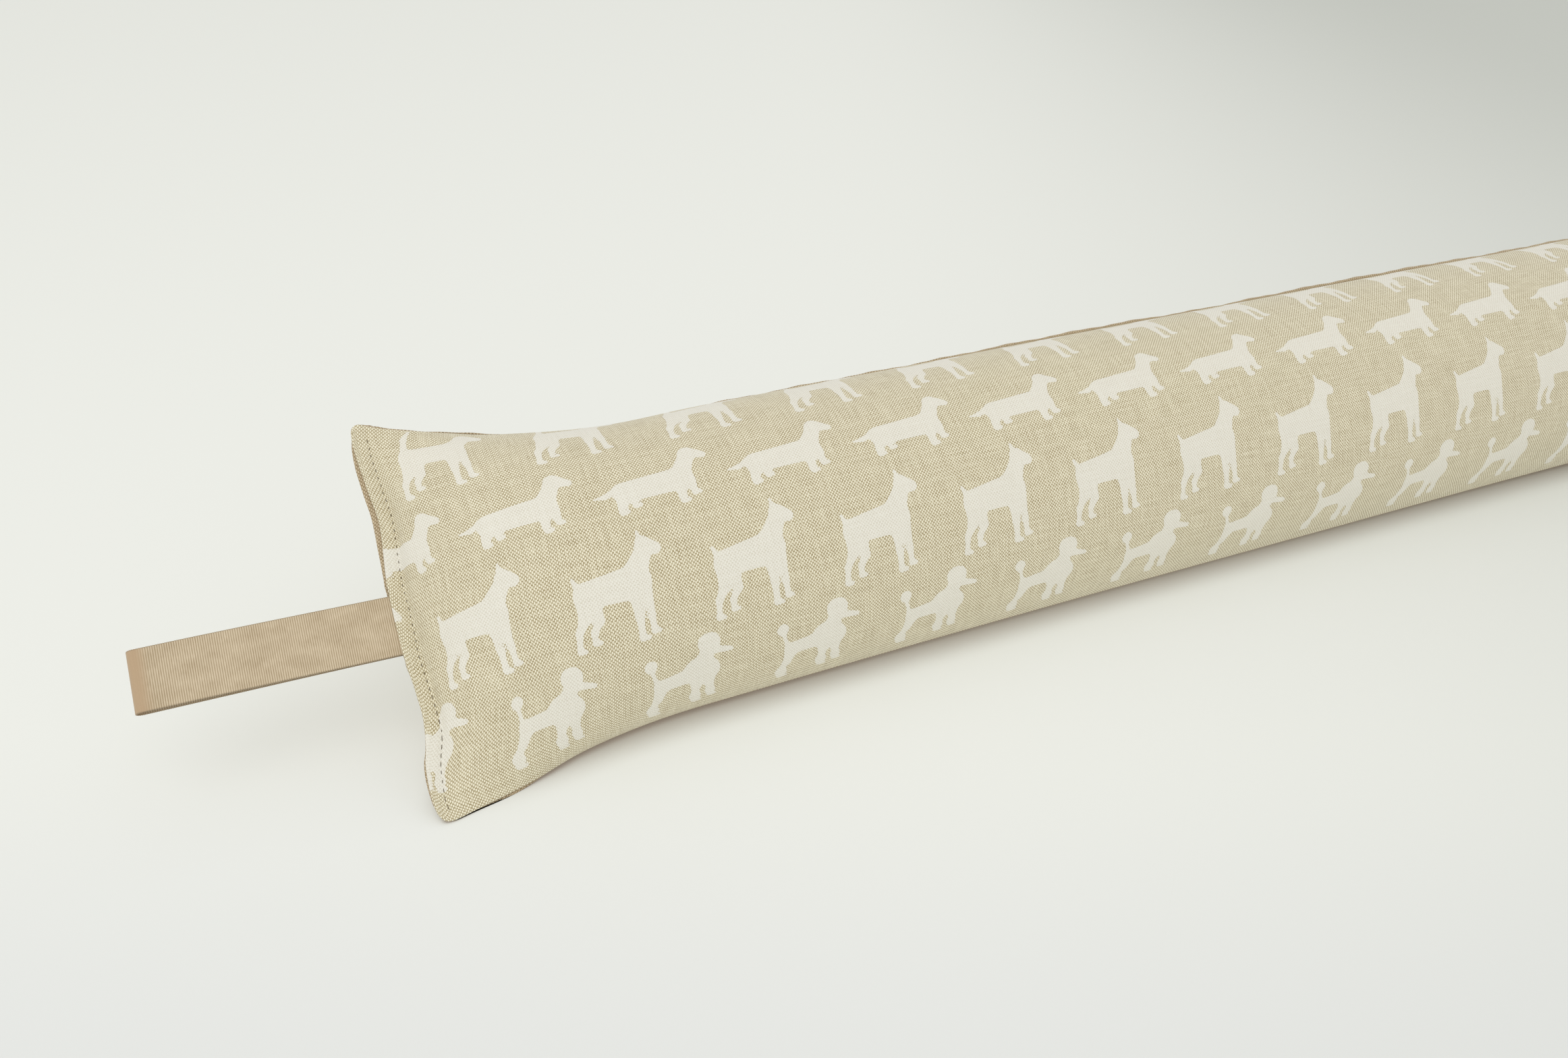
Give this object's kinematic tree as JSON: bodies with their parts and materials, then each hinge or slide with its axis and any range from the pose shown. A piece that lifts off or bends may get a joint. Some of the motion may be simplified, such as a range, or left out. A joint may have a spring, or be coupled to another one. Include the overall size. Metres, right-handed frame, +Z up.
{
  "type": "draught excluder",
  "caption": "Long stuffed cloth draught excluder with flat-sewn ends and a folded ribbon hanging loop in one end seam.",
  "frame": {"origin": "on the floor, under the middle of the stuffed tube's axis, on the flat strip that the tube lies on", "axes": "+X along the tube, away from the ribbon loop; +Y across the floor, away from the printed face; +Z up"},
  "size_m": [0.9597, 0.1229, 0.1078],
  "materials": {
    "printed_linen": "natural linen with an off-white print",
    "plain_backing": "plain taupe-beige cloth",
    "grosgrain_ribbon": "taupe ribbed ribbon with a soft sheen",
    "sewing_thread": "dark grey-taupe thread"
  },
  "bodies": {
    "root": {"stuffed_tube": "printed_linen", "ribbon_loop": "grosgrain_ribbon"}
  },
  "joints": []
}
